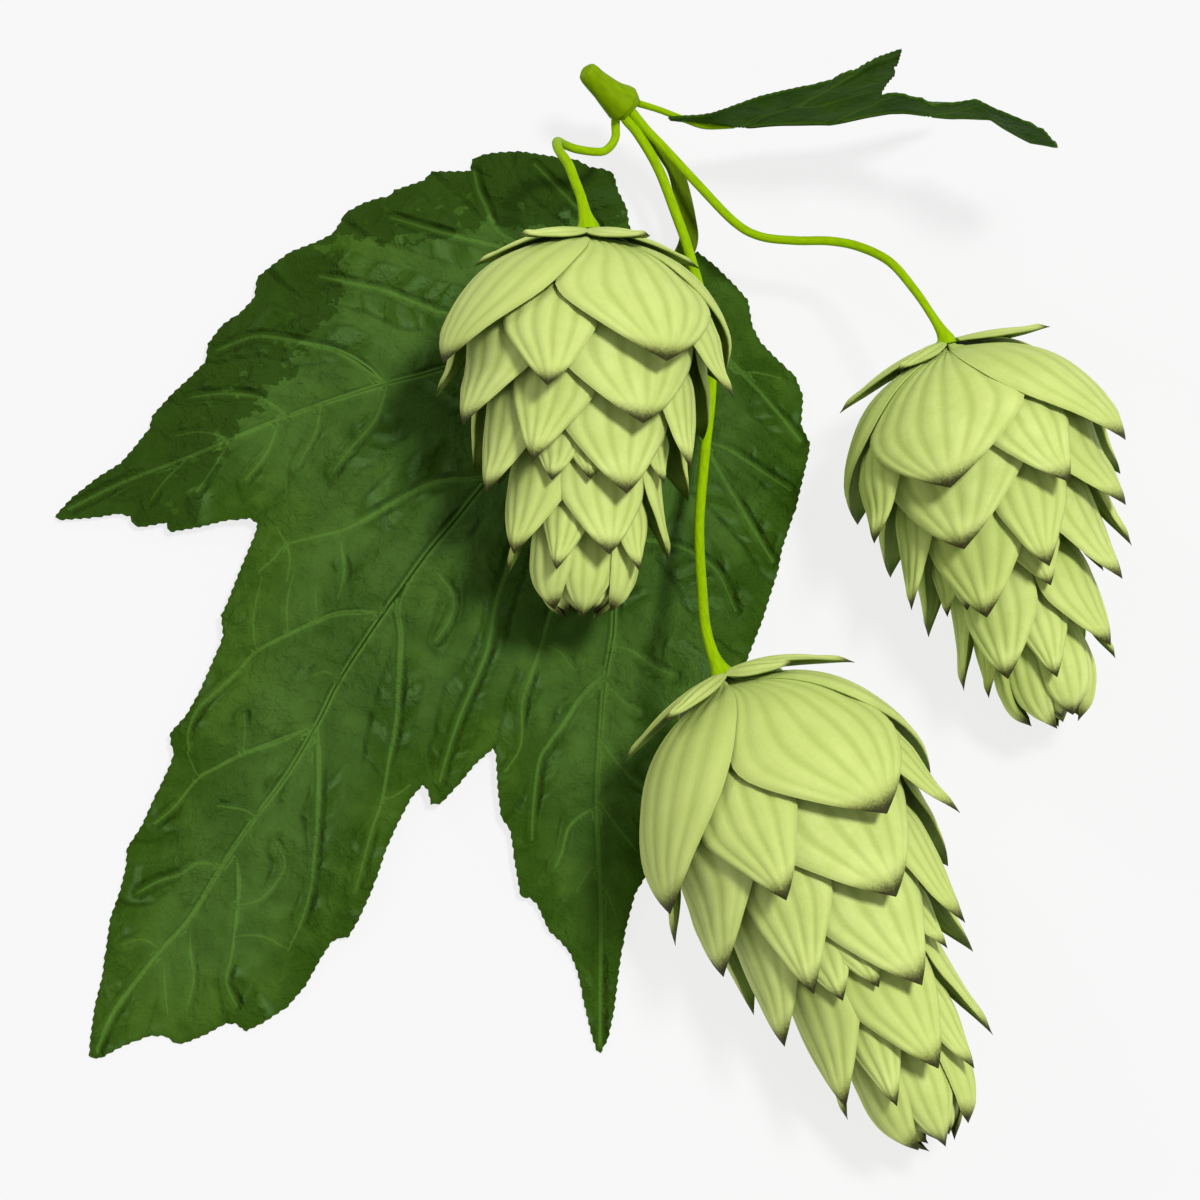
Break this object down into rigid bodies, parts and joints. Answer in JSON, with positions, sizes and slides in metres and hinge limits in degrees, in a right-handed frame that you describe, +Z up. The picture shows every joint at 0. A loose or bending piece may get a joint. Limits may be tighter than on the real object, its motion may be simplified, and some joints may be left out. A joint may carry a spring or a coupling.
{
  "type": "hop bine",
  "caption": "Cut sprig of hop bine lying on its leaf: ripe papery cones on thin stalks, a large lobed leaf and a small folded leaf on a short stub of bine.",
  "frame": {"origin": "under the middle of the lying bunch, on the surface that it rests on", "axes": "+Z up from the surface, +Y towards the cut stub of bine (the length of the bunch), +X across it towards the small leaf and the second cone"},
  "size_m": [0.129, 0.1337, 0.0381],
  "materials": {
    "bract_green": "matt, thin and papery, ribbed lengthways, pale yellow-green with brown tips",
    "stalk_lime": "smooth satin, lime green",
    "leaf_green": "satin, dark green with paler raised veins"
  },
  "bodies": {
    "root": {"cone_1_strig": "bract_green", "cone_1_tier_1_bract_1": "bract_green", "cone_1_tier_1_bract_2": "bract_green", "cone_1_tier_1_bract_3": "bract_green", "cone_1_tier_1_bract_4": "bract_green", "cone_1_tier_2_bract_1": "bract_green", "cone_1_tier_2_bract_2": "bract_green", "cone_1_tier_2_bract_3": "bract_green", "cone_1_tier_2_bract_4": "bract_green", "cone_1_tier_3_bract_1": "bract_green", "cone_1_tier_3_bract_2": "bract_green", "cone_1_tier_3_bract_3": "bract_green", "cone_1_tier_3_bract_4": "bract_green", "cone_1_tier_4_bract_1": "bract_green", "cone_1_tier_4_bract_2": "bract_green", "cone_1_tier_4_bract_3": "bract_green", "cone_1_tier_4_bract_4": "bract_green", "cone_2_strig": "bract_green", "cone_2_tier_1_bract_1": "bract_green", "cone_2_tier_1_bract_2": "bract_green", "cone_2_tier_1_bract_3": "bract_green", "cone_2_tier_1_bract_4": "bract_green", "cone_2_tier_2_bract_1": "bract_green", "cone_2_tier_2_bract_2": "bract_green", "cone_2_tier_2_bract_3": "bract_green", "cone_2_tier_2_bract_4": "bract_green", "cone_2_tier_3_bract_1": "bract_green", "cone_2_tier_3_bract_2": "bract_green", "cone_2_tier_3_bract_3": "bract_green", "cone_2_tier_3_bract_4": "bract_green", "cone_2_tier_4_bract_1": "bract_green", "cone_2_tier_4_bract_2": "bract_green", "cone_2_tier_4_bract_3": "bract_green", "cone_2_tier_4_bract_4": "bract_green", "cone_3_strig": "bract_green", "cone_3_tier_1_bract_1": "bract_green", "cone_3_tier_1_bract_2": "bract_green", "cone_3_tier_1_bract_3": "bract_green", "cone_3_tier_1_bract_4": "bract_green", "cone_3_tier_2_bract_1": "bract_green", "cone_3_tier_2_bract_2": "bract_green", "cone_3_tier_2_bract_3": "bract_green", "cone_3_tier_2_bract_4": "bract_green", "cone_3_tier_3_bract_1": "bract_green", "cone_3_tier_3_bract_2": "bract_green", "cone_3_tier_3_bract_3": "bract_green", "cone_3_tier_3_bract_4": "bract_green", "cone_3_tier_4_bract_1": "bract_green", "cone_3_tier_4_bract_2": "bract_green", "cone_3_tier_4_bract_3": "bract_green", "cone_3_tier_4_bract_4": "bract_green", "bine_stub": "stalk_lime", "pedicel_1": "stalk_lime", "pedicel_2": "stalk_lime", "pedicel_3": "stalk_lime", "petiole_small": "stalk_lime", "petiole_large": "stalk_lime", "leaf_large": "leaf_green", "leaf_small": "leaf_green"}
  },
  "joints": []
}
